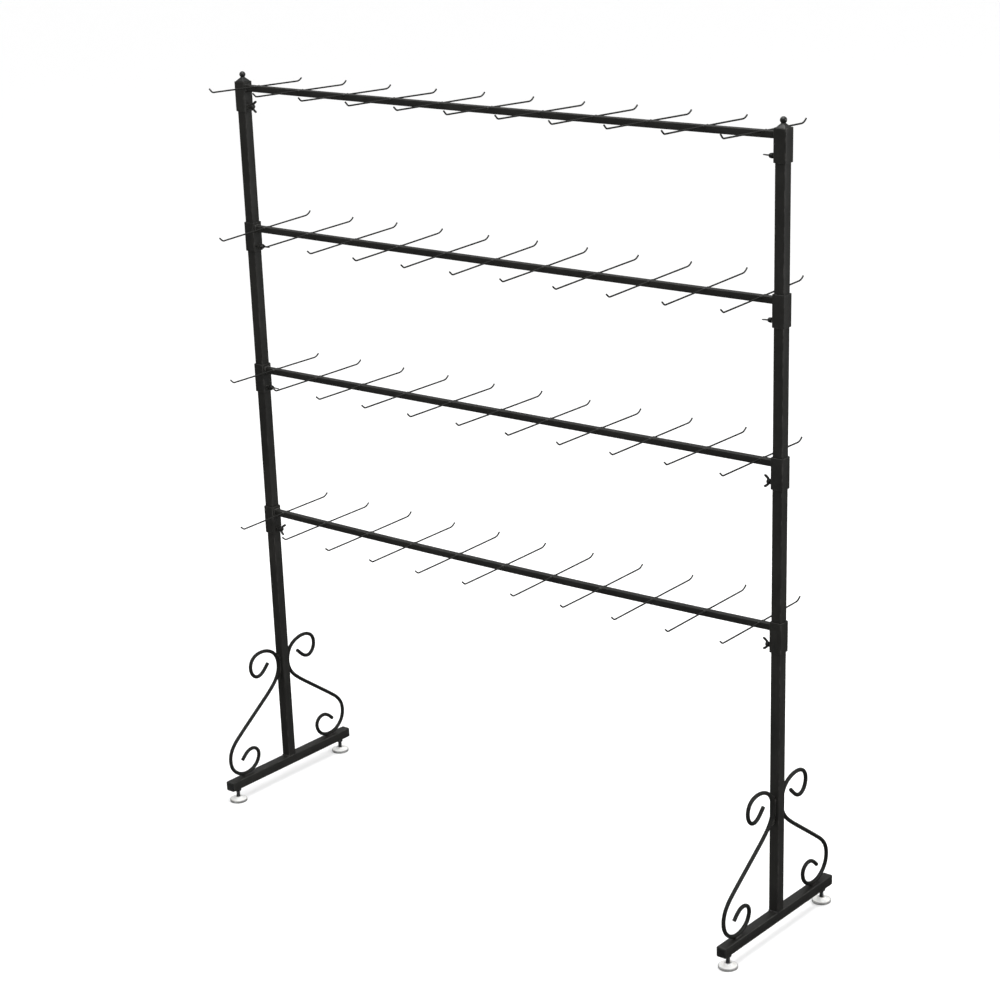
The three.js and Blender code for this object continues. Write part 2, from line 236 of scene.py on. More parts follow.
def steel_material(name, dark, light, edge_colour, rough=(0.30, 0.48), metal=0.85):
    """Dark plated steel: blotchy plating, oil film, bright thread crests."""
    m, nt, bsdf = nodes_of(name)
    tc = nt.nodes.new("ShaderNodeTexCoord")
    blotch = remap(nt, noise_tex(nt, tc, 130.0, 5.0, 0.62), 0.33, 0.70, 0, 1, True)
    base = mix_color(nt, blotch, dark, light)
    crest = math_node(nt, "MULTIPLY", wear_attr(nt), remap(nt, noise_tex(nt, tc, 240.0, 3.0, 0.6), 0.40, 0.66, 0.05, 0.75, True))
    base = mix_color(nt, crest, base, edge_colour)
    nt.links.new(base, bsdf.inputs["Base Color"])
    r = remap(nt, noise_tex(nt, tc, 300.0, 3.0, 0.6), 0.30, 0.72, rough[0], rough[1])
    nt.links.new(r, bsdf.inputs["Roughness"])
    bsdf.inputs["Metallic"].default_value = metal
    n1 = bump(nt, noise_tex(nt, tc, 1900.0, 2.0, 0.6), 0.22, 0.00004)
    nt.links.new(n1, bsdf.inputs["Normal"])
    return m


def pad_material(name):
    """Milky moulded pad: soft white, slightly translucent, with dust and painted shade greying the rim."""
    m, nt, bsdf = nodes_of(name)
    tc = nt.nodes.new("ShaderNodeTexCoord")
    cloud = remap(nt, noise_tex(nt, tc, 70.0, 4.0, 0.6), 0.32, 0.70, 0, 1, True)
    base = mix_color(nt, cloud, (0.80, 0.80, 0.78), (0.87, 0.87, 0.855))
    # dust and painted shade: the rim mask greys the pad, partly as dust and partly as shade on the side wall
    dust_and_painted_shade = math_node(nt, "MULTIPLY", wear_attr(nt), remap(nt, noise_tex(nt, tc, 190.0, 5.0, 0.65), 0.38, 0.66, 0.10, 0.70, True))
    base = mix_color(nt, dust_and_painted_shade, base, (0.36, 0.36, 0.35))
    # painted shade: the rim's side wall is painted greyer than the top, unevenly
    rim = remap(nt, wear_attr(nt), 0.50, 1.0, 0, 0.92)
    rim = math_node(nt, "MULTIPLY", rim, remap(nt, noise_tex(nt, tc, 55.0, 3.0, 0.55), 0.30, 0.62, 0.72, 1.0, True))
    base = mix_color(nt, rim, base, (0.105, 0.106, 0.103))
    nt.links.new(base, bsdf.inputs["Base Color"])
    r = remap(nt, noise_tex(nt, tc, 120.0, 3.0, 0.6), 0.30, 0.70, 0.28, 0.42)
    nt.links.new(r, bsdf.inputs["Roughness"])
    bsdf.inputs["IOR"].default_value = 1.47
    bsdf.inputs["Subsurface Weight"].default_value = 0.35
    bsdf.inputs["Subsurface Radius"].default_value = (0.0035, 0.0033, 0.003)
    bsdf.inputs["Subsurface Scale"].default_value = 1.0
    n1 = bump(nt, noise_tex(nt, tc, 1500.0, 2.0, 0.6), 0.15, 0.00004)
    nt.links.new(n1, bsdf.inputs["Normal"])
    return m


BLACK = paint_material("black_powder_coat", (0.0070, 0.0070, 0.0062), (0.0128, 0.0125, 0.0110), (0.070, 0.067, 0.061), spec=0.40)
RAIL = paint_material("rail_powder_coat", (0.0060, 0.0060, 0.0053), (0.0110, 0.0108, 0.0094), (0.070, 0.067, 0.061), spec=0.40,
                      grain_stretch=(0.25, 1, 1))
# painted shade: the hook wire's base is painted darker than the frame coat to take the light off the round wire where
# it crosses the rail
WIRE = paint_material("hook_wire_coat_with_painted_shade", (0.0052, 0.0052, 0.0047), (0.0100, 0.0098, 0.0088), (0.075, 0.072, 0.067),
                      rough=(0.44, 0.58), peel=0.7, edge_wear_and_highlight_amount=0.75, spec=0.26)
# painted shade: the scrolls have the frame's black coat; this copy is painted darker to take the light off their rods
SCROLL_SHADED_PAINT = paint_material("scroll_coat_with_painted_shade", (0.0050, 0.0050, 0.0045), (0.0095, 0.0093, 0.0083), (0.070, 0.067, 0.061),
                              rough=(0.46, 0.60), spec=0.20)
WELD = paint_material("weld_bead_coat", (0.0080, 0.0080, 0.0072), (0.0150, 0.0146, 0.0130), (0.080, 0.077, 0.070),
                      rough=(0.32, 0.46), peel=1.3, edge_wear_and_highlight_amount=0.7)
SCREW = paint_material("wing_screw_coat", (0.0050, 0.0050, 0.0047), (0.0100, 0.0099, 0.0092), (0.085, 0.083, 0.078),
                       rough=(0.34, 0.50), peel=1.2, edge_wear_and_highlight_amount=0.8)
PLASTIC = plastic_material("black_moulded_plastic", (0.0055, 0.0058, 0.0055), (0.0110, 0.0113, 0.0107), spec=0.45)
STEEL = steel_material("dark_plated_steel", (0.030, 0.031, 0.033), (0.070, 0.072, 0.075), (0.30, 0.30, 0.30))
PAD = pad_material("milky_pad_plastic")


# ------------------------------------------------------------------ mesh building
class Build:
    """Collects closed shells and turns them into one object."""

    def __init__(self):
        self.v, self.f, self.w = [], [], []

    def shell(self, verts, faces, wear_and_painted_light=None, xf=None):
        base = len(self.v)
        self.v += [(xf @ Vector(p)) if xf is not None else Vector(p) for p in verts]
        self.w += list(wear_and_painted_light) if wear_and_painted_light is not None else [0.0] * len(verts)
        self.f += [tuple(base + i for i in f) for f in faces]

    def rings(self, rings, closed=False, caps=True, wear_and_painted_light=None, xf=None):
        """rings: lists of equally many points. closed joins the last ring to the first; else both ends are capped by a fan."""
        n = len(rings[0])
        verts, w = [], []
        for i, ring in enumerate(rings):
            verts += [Vector(p) for p in ring]
            w += list(wear_and_painted_light[i]) if wear_and_painted_light is not None else [0.0] * n
        faces = []
        count = len(rings)
        for i in range(count if closed else count - 1):
            a, b = i * n, ((i + 1) % count) * n
            for k in range(n):
                k2 = (k + 1) % n
                faces.append((a + k, a + k2, b + k2, b + k))
        if not closed and caps:
            for ring_i, flip in ((0, True), (count - 1, False)):
                centre = len(verts)
                verts.append(sum((Vector(p) for p in rings[ring_i]), Vector()) / n)
                w.append(w[ring_i * n])
                for k in range(n):
                    k2 = (k + 1) % n
                    tri = (ring_i * n + k, ring_i * n + k2, centre)
                    faces.append(tri if not flip else tri[::-1])
        self.shell(verts, faces, w, xf)

    def object(self, name, material, body, slot, replaces=(), sharp=38.0):
        me = bpy.data.meshes.new(name)
        me.from_pydata([tuple(p) for p in self.v], [], self.f)
        a = me.attributes.new("wear_and_painted_light", "FLOAT", "POINT")
        a.data.foreach_set("value", self.w)
        bm = bmesh.new()
        bm.from_mesh(me)
        bmesh.ops.recalc_face_normals(bm, faces=bm.faces)
        lim = math.radians(sharp)
        for f in bm.faces:
            f.smooth = True
        for e in bm.edges:
            if len(e.link_faces) == 2 and e.calc_face_angle(0) > lim:
                e.smooth = False
        bm.to_mesh(me)
        bm.free()
        me.materials.append(material)
        o = bpy.data.objects.new(name, me)
        bpy.context.scene.collection.objects.link(o)
        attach(o, body)
        if replaces:
            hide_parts(*replaces)
        return o


def square_loop(w, r, seg=5):
    """Rounded square as (x, y, on_corner) points, anticlockwise; on_corner is 1 in the middle of a corner."""
    h = w / 2
    r = min(r, h - 1e-6)
    out = []
    for q, (cx, cy) in enumerate(((h - r, h - r), (-h + r, h - r), (-h + r, -h + r), (h - r, -h + r))):
        for i in range(seg + 1):
            a = q * math.pi / 2 + i / seg * math.pi / 2
            t = 1 - abs(2 * i / seg - 1)
            out.append((cx + r * math.cos(a), cy + r * math.sin(a), t))
    return out


def circle_loop(r, n, phase=0.0):
    return [(r * math.cos(phase + i * TAU / n), r * math.sin(phase + i * TAU / n)) for i in range(n)]


def square_tube(b, w, wall, r, z0, z1, xf, chamfer=0.3, stations=(), inner=False):
    """Open square tube along local +Z (mm), with broken end edges."""
    ri = max(r - wall, 0.45)
    wi = w - 2 * wall
    spec = [(w - 2 * chamfer, r, z0, 1.0), (w, r, z0 + chamfer, 0.9), (w, r, z0 + chamfer + 1.6, None)]
    spec += [(w, r, z, None) for z in stations if z0 + 4 < z < z1 - 4]
    spec += [(w, r, z1 - chamfer - 1.6, None), (w, r, z1 - chamfer, 0.9), (w - 2 * chamfer, r, z1, 1.0),
             (wi + 0.3, ri, z1, 0.5), (wi, ri, z1 - 0.4, 0.0)]
    if inner:
        spec += [(wi, ri, z, 0.0) for z in reversed(stations) if z0 + 4 < z < z1 - 4]
    spec += [(wi, ri, z0 + 0.4, 0.0), (wi + 0.3, ri, z0, 0.5)]
    # corner and end values of the mask mark the edges that the paint lightens, partly as wear and partly as painted
    # edge highlight
    rings, wear_and_painted_light = [], []
    for ww, rr, z, e in spec:
        loop = square_loop(ww, rr)
        rings.append([(x, y, z) for x, y, _ in loop])
        wear_and_painted_light.append([(max(e, t) if e is not None else t) for _, _, t in loop])
    b.rings(rings, closed=True, wear_and_painted_light=wear_and_painted_light, xf=xf)


def sweep(b, points, radius, sides, xf=None, radii=None, wear_and_painted_light=None, plane=None):
    """Round rod along points (Vectors, mm). plane is the normal of a planar path."""
    n = len(points)
    rings, ws = [], []
    side = None
    for i, p in enumerate(points):
        d = (points[min(i + 1, n - 1)] - points[max(i - 1, 0)]).normalized()
        if plane is not None:
            side = plane.copy()
        elif side is None:
            side = d.orthogonal().normalized()
        else:
            side = (side - d * side.dot(d)).normalized()
        up = d.cross(side).normalized()
        r = radii[i] if radii is not None else radius
        ring = []
        for k in range(sides):
            a = k * TAU / sides
            ring.append(p + side * (r * math.cos(a)) + up * (r * math.sin(a)))
        rings.append(ring)
        ws.append([wear_and_painted_light[i] if wear_and_painted_light is not None else 0.0] * sides)
    b.rings(rings, wear_and_painted_light=ws, xf=xf)


def rod_with_ends(b, points, radius, sides, xf=None, plane=None, dome=0.45, end_wear_and_highlight_length=5.0):
    """Rod whose cut ends are broken by a small radius."""
    pts = list(points)
    c = radius * dome
    d0 = (pts[0] - pts[1]).normalized()
    d1 = (pts[-1] - pts[-2]).normalized()
    head = [(pts[0] - d0 * 0.0, 1 - dome), (pts[0] - d0 * c * 0.3, 1 - dome * 0.32), (pts[0] - d0 * c, 1.0)]
    tail = [(pts[-1] - d1 * c, 1.0), (pts[-1] - d1 * c * 0.3, 1 - dome * 0.32), (pts[-1], 1 - dome)]
    mid = [p for p in pts[1:-1] if (p - pts[0]).length > c * 1.5 and (p - pts[-1]).length > c * 1.5]
    full = [h[0] for h in head] + mid + [t[0] for t in tail]
    radii = [radius * h[1] for h in head] + [radius] * len(mid) + [radius * t[1] for t in tail]
    # the mask rises towards the cut ends, which the paint lightens as wear and painted highlight
    wear_and_painted_light = []
    for p in full:
        near = min((p - pts[0]).length, (p - pts[-1]).length)
        wear_and_painted_light.append(max(0.0, 1 - near / end_wear_and_highlight_length))
    sweep(b, full, radius, sides, xf=xf, radii=radii, wear_and_painted_light=wear_and_painted_light, plane=plane)


def bead(b, points, radius, closed, seed, ripple=1.7, sides=9, squash=1.0, xf=None, radius_at=None):
    """Weld bead along points (mm): overlapping ripples of uneven size, fading out at free ends."""
    # even spacing
    src = list(points) + ([points[0]] if closed else [])
    seg = [(src[i + 1] - src[i]).length for i in range(len(src) - 1)]
    total = sum(seg)
    step = 0.42
    n = max(6, int(total / step))
    out = []
    for i in range(n + (0 if closed else 1)):
        s = total * i / n
        k = 0
        while k < len(seg) - 1 and s > seg[k]:
            s -= seg[k]
            k += 1
        out.append(src[k].lerp(src[k + 1], min(1.0, s / max(seg[k], 1e-9))))
    rings, ws = [], []
    m = len(out)
    side = None
    for i, p in enumerate(out):
        a, c = (out[(i - 1) % m], out[(i + 1) % m]) if closed else (out[max(i - 1, 0)], out[min(i + 1, m - 1)])
        d = (c - a).normalized()
        side = d.orthogonal().normalized() if side is None else (side - d * side.dot(d)).normalized()
        up = d.cross(side).normalized()
        s = total * i / n
        ph = (s / ripple) % 1.0
        scale = 1.0 + 0.16 * (1 - ph) ** 1.5 - 0.10 * ph
        nz = mnoise.noise(Vector((p.x * 0.35 + seed * 7.1, p.y * 0.35, p.z * 0.35)))
        r = radius * scale * (1 + 0.22 * nz)
        if radius_at is not None:
            r *= radius_at(p)
        if not closed:
            t = min(s, total - s) / max(radius * 1.6, 1e-6)
            r *= 0.35 + 0.65 * min(1.0, t) ** 0.5
        ring = []
        for k in range(sides):
            ang = k * TAU / sides
            rr = r * (1 + 0.07 * mnoise.noise(Vector((p.x + 3 * math.cos(ang), p.y + 3 * math.sin(ang), p.z + seed))))
            ring.append(p + side * (rr * math.cos(ang)) + up * (rr * math.sin(ang) * squash))
        rings.append(ring)
        # ripple crests get the higher mask values, which the paint lightens as wear and painted highlight
        ws.append([0.35 + 0.5 * (1 - ph)] * sides)
    b.rings(rings, closed=closed, wear_and_painted_light=ws, xf=xf)


def lathe(b, profile, n, xf=None, closed=False, wear_and_painted_light=None):
    """profile: (r, z) points; r = 0 ends are closed by fans. The last argument gives one value per profile point for
    the wear and painted-light mask.
    """
    pts = list(profile)
    wv = list(wear_and_painted_light) if wear_and_painted_light is not None else [0.0] * len(pts)
    if closed:
        rings = [[(x, y, z) for x, y in circle_loop(r, n)] for r, z in pts]
        b.rings(rings, closed=True, wear_and_painted_light=[[w] * n for w in wv], xf=xf)
        return
    verts, w, faces, idx = [], [], [], []
    for (r, z), ww in zip(pts, wv):
        if r <= 1e-9:
            idx.append([len(verts)])
            verts.append((0, 0, z))
            w.append(ww)
        else:
            idx.append(list(range(len(verts), len(verts) + n)))
            verts += [(x, y, z) for x, y in circle_loop(r, n)]
            w += [ww] * n
    for a, c in zip(idx, idx[1:]):
        if len(a) == 1 and len(c) == 1:
            continue
        for k in range(n):
            k2 = (k + 1) % n
            if len(a) == 1:
                faces.append((a[0], c[k], c[k2]))
            elif len(c) == 1:
                faces.append((a[k], a[k2], c[0]))
            else:
                faces.append((a[k], a[k2], c[k2], c[k]))
    b.shell(verts, faces, w, xf)


def arc_profile(cr, cz, rad, a0, a1, n):
    return [(cr + rad * math.cos(math.radians(a0 + (a1 - a0) * i / n)), cz + rad * math.sin(math.radians(a0 + (a1 - a0) * i / n)))
            for i in range(n + 1)]


def hex_nut(b, af, thick, bore, xf, chamfer=0.93, n=72):
    """Chamfered hexagon nut about local +Z, from z = 0 to thick."""
    rc = af / 2 * chamfer
    tan30 = math.tan(math.radians(30))

    def hexr(a):
        t = (a % (TAU / 6)) - TAU / 12
        return af / 2 / math.cos(t)

    angs = [i * TAU / n for i in range(n)]
    rr = [hexr(a) for a in angs]
    dd = [max(0.0, r - rc) * tan30 + 0.05 for r in rr]
    corner = [max(0.0, (r / (af / 2) - 1.02) / 0.13) for r in rr]

    def ring(rs, zs):
        return [(r * math.cos(a), r * math.sin(a), z) for r, a, z in zip(rs, angs, zs)]
    c = 0.45
    flat = lambda v: [v] * n
    rings = [ring(flat(bore), flat(c)), ring(flat(bore + c), flat(0.0)), ring(flat(rc), flat(0.0)),
             ring([r - 0.12 for r in rr], [d - 0.05 for d in dd]), ring(rr, [d + 0.08 for d in dd]),
             ring(rr, [thick - d - 0.08 for d in dd]), ring([r - 0.12 for r in rr], [thick - d + 0.05 for d in dd]),
             ring(flat(rc), flat(thick)), ring(flat(bore + c), flat(thick)), ring(flat(bore), flat(thick - c))]
    wear_and_painted_light = [flat(0.2), flat(0.5), flat(0.4), flat(0.8), corner, corner, flat(0.8), flat(0.4), flat(0.5), flat(0.2)]
    b.rings(rings, closed=True, wear_and_painted_light=wear_and_painted_light, xf=xf)


def thread(b, r_major, pitch, z0, z1, xf, n=28, per=8, depth=0.60, chamfer=0.7, plain=0.0):
    """Threaded rod about local +Z: a real helix, chamfered at both ends. plain is an unthreaded length at the z1 end."""
    r_minor = r_major - depth * pitch
    steps = int((z1 - z0) / pitch * per)
    rings, ws = [], []
    for i in range(steps + 1):
        z = z0 + (z1 - z0) * i / steps
        lim = r_minor - 0.15 * pitch + min(z - z0, z1 - z) / chamfer * (r_major - r_minor + 0.15 * pitch)
        ring, w = [], []
        for k in range(n):
            a = k * TAU / n
            ph = ((z - z0) / pitch - a / TAU) % 1.0
            tri = 1 - abs(2 * ph - 1)
            prof = min(1.0, max(0.0, (tri - 0.12) / 0.70))
            r = r_minor + (r_major - r_minor) * prof
            if plain and z > z1 - plain:
                r, prof = r_major - 0.1, 0.3
            r = min(r, max(lim, r_minor * 0.86))
            ring.append((r * math.cos(a), r * math.sin(a), z))
            w.append(prof ** 2)
        rings.append(ring)
        ws.append(w)
    b.rings(rings, wear_and_painted_light=ws, xf=xf)


def mid(node):
    lo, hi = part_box(node)
    return (lo + hi) / 2 / MM, lo / MM, hi / MM


def move(x, y, z, rot=None):
    """mm placement in the row frame, scaled to metres."""
    m = Matrix.Translation(Vector((x, y, z)) * MM) @ Matrix.Scale(MM, 4)
    return m @ rot if rot is not None else m


# ------------------------------------------------------------------ shared shapes
def chaikin(points, rounds):
    pts = list(points)
    for _ in range(rounds):
        out = [pts[0]]
        for a, c in zip(pts, pts[1:]):
            out += [a.lerp(c, 0.25), a.lerp(c, 0.75)]
        out.append(pts[-1])
        pts = out
    return pts


def resample(points, step):
    seg = [(b2 - a).length for a, b2 in zip(points, points[1:])]
    total = sum(seg)
    n = max(2, int(round(total / step)))
    out, k, acc = [], 0, 0.0
    for i in range(n + 1):
        s = total * i / n
        while k < len(seg) - 1 and s > acc + seg[k]:
            acc += seg[k]
            k += 1
        out.append(points[k].lerp(points[k + 1], min(1.0, (s - acc) / max(seg[k], 1e-9))))
    return out


def centripetal(points, per):
    """Centripetal Catmull-Rom through points."""
    P = [points[0] * 2 - points[1]] + list(points) + [points[-1] * 2 - points[-2]]
    out = []
    for i in range(1, len(P) - 2):
        p0, p1, p2, p3 = P[i - 1], P[i], P[i + 1], P[i + 2]
        t0 = 0.0
        t1 = t0 + max((p1 - p0).length, 1e-6) ** 0.5
        t2 = t1 + max((p2 - p1).length, 1e-6) ** 0.5
        t3 = t2 + max((p3 - p2).length, 1e-6) ** 0.5
        for k in range(per):
            t = t1 + (t2 - t1) * k / per
            a1 = p0 * ((t1 - t) / (t1 - t0)) + p1 * ((t - t0) / (t1 - t0))
            a2 = p1 * ((t2 - t) / (t2 - t1)) + p2 * ((t - t1) / (t2 - t1))
            a3 = p2 * ((t3 - t) / (t3 - t2)) + p3 * ((t - t2) / (t3 - t2))
            b1 = a1 * ((t2 - t) / (t2 - t0)) + a2 * ((t - t0) / (t2 - t0))
            b2 = a2 * ((t3 - t) / (t3 - t1)) + a3 * ((t - t1) / (t3 - t1))
            out.append(b1 * ((t2 - t) / (t2 - t1)) + b2 * ((t - t1) / (t2 - t1)))
    out.append(P[-2])
    return out


def relax(points, rounds):
    pts = list(points)
    for _ in range(rounds):
        pts = [pts[0]] + [(pts[i - 1] + pts[i] * 2 + pts[i + 1]) / 4 for i in range(1, len(pts) - 1)] + [pts[-1]]
    return pts


# the same centre line as the CAD scroll: (distance from the post axis, height), mm
SCROLL = [
    (47, 288.5), (56, 279.5), (67, 270), (81, 266), (94, 273), (101, 290), (97, 307),
    (84, 317), (64, 320), (43, 315.5), (26.5, 305), (17.9, 291), (15.0, 276), (16.3, 262), (21.5, 249),
    (31, 236.5), (50, 220), (80, 198), (112, 175), (145, 151), (164, 136),
    (177, 119), (181.5, 101), (178, 82), (168, 68.5), (152, 58.7), (135, 55.9),
    (118, 58.9), (104, 67), (96, 79), (94, 92), (100, 102), (112, 107.5),
    (125, 106), (137, 98), (146, 89),
]
ROD_R = 4.0


def scroll_path(sx, sy):
    pts = centripetal([Vector((0, y, z)) for y, z in SCROLL], 8)
    pts = relax(resample(pts, 2.0), 14)
    out = []
    for p in pts:
        # stays on the post face and on the bar's top
        y = max(p.y, 10.5 + ROD_R + 0.05) if p.z > 120 else p.y
        z = max(p.z, 51.5 + ROD_R + 0.05)
        out.append(Vector((0, sy * y, z)))
    return out


# ------------------------------------------------------------------ end frames
for side, sx in SIDES:
    c, lo, hi = mid(f"post_{side}")
    X = c.x
    top = hi.z

    # post
    b = Build()
    square_tube(b, 21.0, 1.2, 1.9, lo.z - 0.25, top, move(X, 0, 0), chamfer=0.25,
                stations=[300, 600, 900, 1200])
    b.object(f"vis_post_{side}", BLACK, "frame", "black_paint", [f"post_{side}"])

    # foot bar
    c2, lo2, hi2 = mid(f"foot_bar_{side}")
    b = Build()
    square_tube(b, 21.0, 1.5, 1.9, lo2.y, hi2.y,
                move(X, 0, c2.z, Matrix.Rotation(-math.pi / 2, 4, "X")), chamfer=0.3,
                stations=[-120, -40, 40, 120])
    b.object(f"vis_foot_bar_{side}", BLACK, "frame", "black_paint", [f"foot_bar_{side}"])

    # weld round the foot of the post: narrow along the bar's sides, full across it
    b = Build()
    bar_top = hi2.z
    loop = [Vector((x, y, 0.35 if abs(y) > 9.6 else 0.05)) for x, y, _ in square_loop(21.2, 2.2, 3)]
    bead(b, loop, 1.75, True, 3 + sx, ripple=2.3, xf=move(X, 0, bar_top),
         radius_at=lambda p: 0.42 + 0.58 * min(1.0, max(0.0, abs(p.y) - 9.1) / 1.4))
    # scroll welds, on the post face and on the bar
    for end, sy in ENDS:
        for s in (-1, 1):
            line = [Vector((s * 3.1, sy * 11.5, z)) for z in (292, 286, 279, 272, 266)] + \
                   [Vector((s * 2.9, sy * 12.4, 260)), Vector((s * 2.4, sy * 13.9, 255))]
            bead(b, line, 1.8, False, 11 + s + 3 * sy + 7 * sx, ripple=2.3, xf=move(X, 0, 0))
            line = [Vector((s * 3.1, sy * y, 52.5)) for y in (124, 130, 137, 146)]
            bead(b, line, 1.75, False, 23 + s + 3 * sy + 7 * sx, ripple=2.3, xf=move(X, 0, 0))
        # filler in the notch where the rod leaves the post
        line = [Vector((0, sy * 11.7, 258)), Vector((0, sy * 12.7, 250)), Vector((0, sy * 15.1, 243)), Vector((0, sy * 18.1, 237.5))]
        bead(b, line, 3.2, False, 31 + sy + 5 * sx, ripple=3.0, sides=13, xf=move(X, 0, 0))
        line = [Vector((0, sy * 11.7, 292)), Vector((0, sy * 13.3, 299))]
        bead(b, line, 2.3, False, 37 + sy + 5 * sx, ripple=2.6, sides=11, xf=move(X, 0, 0))
    b.object(f"vis_frame_welds_{side}", WELD, "frame", "black_paint")

    # scrolls
    for end, sy in ENDS:
        b = Build()
        rod_with_ends(b, scroll_path(sx, sy), ROD_R, 18, xf=move(X, 0, 0), plane=Vector((1, 0, 0)), dome=0.22, end_wear_and_highlight_length=7)
        b.object(f"vis_scroll_{side}_{end}", SCROLL_SHADED_PAINT, "frame", "black_paint", [f"scroll_{side}_{end}"], sharp=50)

    # post plug and ball finial
    c3, lo3, hi3 = mid(f"finial_{side}")
    b = Build()
    rings, wear_and_painted_light = [], []
    skirt = []
    for i in range(1, 10):
        t = i / 9
        # slightly hollow slope, from the flange to the neck of the ball
        wd = 20.6 - (20.6 - 9.8) * (t ** 0.86)
        skirt.append((wd, 1.9 + (wd / 2 - 1.9) * t ** 3 * 0.9, 1.35 + 6.25 * t, 0.15 if i < 9 else 0.3))
    for w, r, z, e in [(17.6, 0.8, -15.8, .2), (18.0, 0.9, -15.2, .2), (18.0, 0.9, 0.0, 0), (20.5, 1.7, 0.02, .4), (21.0, 1.9, 0.35, .6),
                       (21.0, 1.9, 0.95, .6), (20.75, 1.9, 1.25, .8)] + skirt + [(6.0, 2.8, 7.75, 0)]:
        lp = square_loop(w, min(r, w / 2 - 0.05), 6)
        rings.append([(x, y, z) for x, y, _ in lp])
        wear_and_painted_light.append([max(e * 0.6, t * (0.7 if z > 0 else 0.1)) for _, _, t in lp])
    b.rings(rings, wear_and_painted_light=wear_and_painted_light, xf=move(X, 0, top + 0.3))
    hz = hi3.z - (top + 0.3)
    R = 6.3
    bz = hz - R
    neck = [(0, 6.6), (5.3, 6.6), (5.15, 7.4), (4.75, 7.85), (4.45, 8.2), (4.4, 8.7)]
    a0 = math.degrees(math.asin((9.05 - bz) / R))
    ball = arc_profile(0, bz, R, a0, 88, 20)
    # mould parting line round the ball
    ball = [(r + (0.06 if abs(z - bz) < 0.35 else 0), z) for r, z in ball]
    full = neck + ball + [(0, bz + R)]
    lathe(b, full, 40, xf=move(X, 0, top + 0.3), wear_and_painted_light=[0.1] * len(neck) + [0.35] * len(ball) + [0.9])
    b.object(f"vis_finial_{side}", PLASTIC, "frame", "black_plastic", [f"finial_{side}"])

    for end, sy in ENDS:
        tag = f"{side}_{end}"
        # foot bar cap: flat flange with a soft dome, ribbed plug inside
        c4, lo4, hi4 = mid(f"foot_cap_{tag}")
        ycap = (lo4.y if sy < 0 else hi4.y)
        face = sy * (abs(hi2.y) + 0.3)
        rot = Matrix.Rotation(math.pi / 2 if sy < 0 else -math.pi / 2, 4, "X")
        b = Build()
        rings, wear_and_painted_light = [], []
        t = abs(ycap) - abs(face)
        ring_spec = [(16.4, 0.9, -11.9, 0), (17.0, 1.0, -11.2, 0.1), (17.4, 1.0, -8.0, 0), (16.9, 1.0, -7.6, 0), (17.4, 1.0, -4.0, 0),
                     (16.9, 1.0, -3.6, 0), (17.4, 1.0, -0.2, 0), (17.4, 1.0, 0.0, 0), (20.7, 2.0, 0.0, .5), (21.0, 2.1, 0.35, .5), (21.0, 2.1, t - 2.3, .15)]
        for i in range(1, 9):
            a = math.pi / 2 * i / 8
            ring_spec.append((21.0 - 5.2 * (1 - math.cos(a)), 2.1 + 2.6 * (1 - math.cos(a)), t - 2.3 + 2.3 * math.sin(a), 0.55 * math.sin(2 * a)))
        ring_spec.append((10.0, 4.4, t + 0.0, 0.05))
        for w, r, z, e in ring_spec:
            lp = square_loop(w, r, 6)
            rings.append([(x, y, z) for x, y, _ in lp])
            wear_and_painted_light.append([max(e, t2 * 0.5 if z > -0.1 else 0) for _, _, t2 in lp])
        b.rings(rings, wear_and_painted_light=wear_and_painted_light, xf=move(X, face, c2.z, rot))
        # moulding gate mark
        lathe(b, [(0, t - 0.2), (1.5, t - 0.2), (1.5, t + 0.0), (1.2, t + 0.12), (0, t + 0.05)], 20, xf=move(X, face, c2.z, rot), wear_and_painted_light=[0, 0, .5, .7, .2])
        b.object(f"vis_foot_cap_{tag}", PLASTIC, "frame", "black_plastic", [f"foot_cap_{tag}"])

        # nuts
        cn, ln, hn = mid(f"lock_nut_{tag}")
        b = Build()
        hex_nut(b, 13.0, hn.z - ln.z, 4.2, move(cn.x, cn.y, ln.z, Matrix.Rotation(math.radians(17 + 40 * hash01(tag)), 4, "Z")))
        b.object(f"vis_lock_nut_{tag}", STEEL, "frame", "dark_steel", [f"lock_nut_{tag}"])
        cn, ln, hn = mid(f"bar_nut_{tag}")
        b = Build()
        hex_nut(b, 13.0, hn.z - ln.z, 4.2, move(cn.x, cn.y, ln.z))
        b.object(f"vis_bar_nut_{tag}", STEEL, "frame", "dark_steel", [f"bar_nut_{tag}"])

        # levelling stud
        cs, ls, hs = mid(f"level_stud_{tag}")
        b = Build()
        thread(b, 4.0, 1.25, ls.z, hs.z, move(cs.x, cs.y, 0))
        b.object(f"vis_level_stud_{tag}", STEEL, f"stud_{tag}", "dark_steel", [f"level_stud_{tag}"], sharp=60)

        # levelling pad
        cp, lp2, hp = mid(f"level_pad_{tag}")
        b = Build()
        prof = [(0, 0.55), (12.4, 0.55), (13.0, 0.0), (17.4, 0.0)]
        prof += arc_profile(17.6, 1.4, 1.4, -80, 0, 6)
        prof += [(19.0, 2.4), (19.0, 3.9)]
        prof += arc_profile(17.9, 4.3, 1.1, 0, 78, 6)
        prof += [(17.0, 5.75), (14.0, 6.5), (11.0, 7.1)]
        prof += [(9.6, 7.45), (8.75, 8.1), (8.3, 9.0), (8.15, 9.9)]
        prof += arc_profile(7.55, 10.0, 0.6, 0, 90, 5)
        prof += [(5.2, 10.6), (4.7, 10.35), (4.45, 9.8), (4.3, 9.0), (4.3, 3.4), (0, 3.3)]
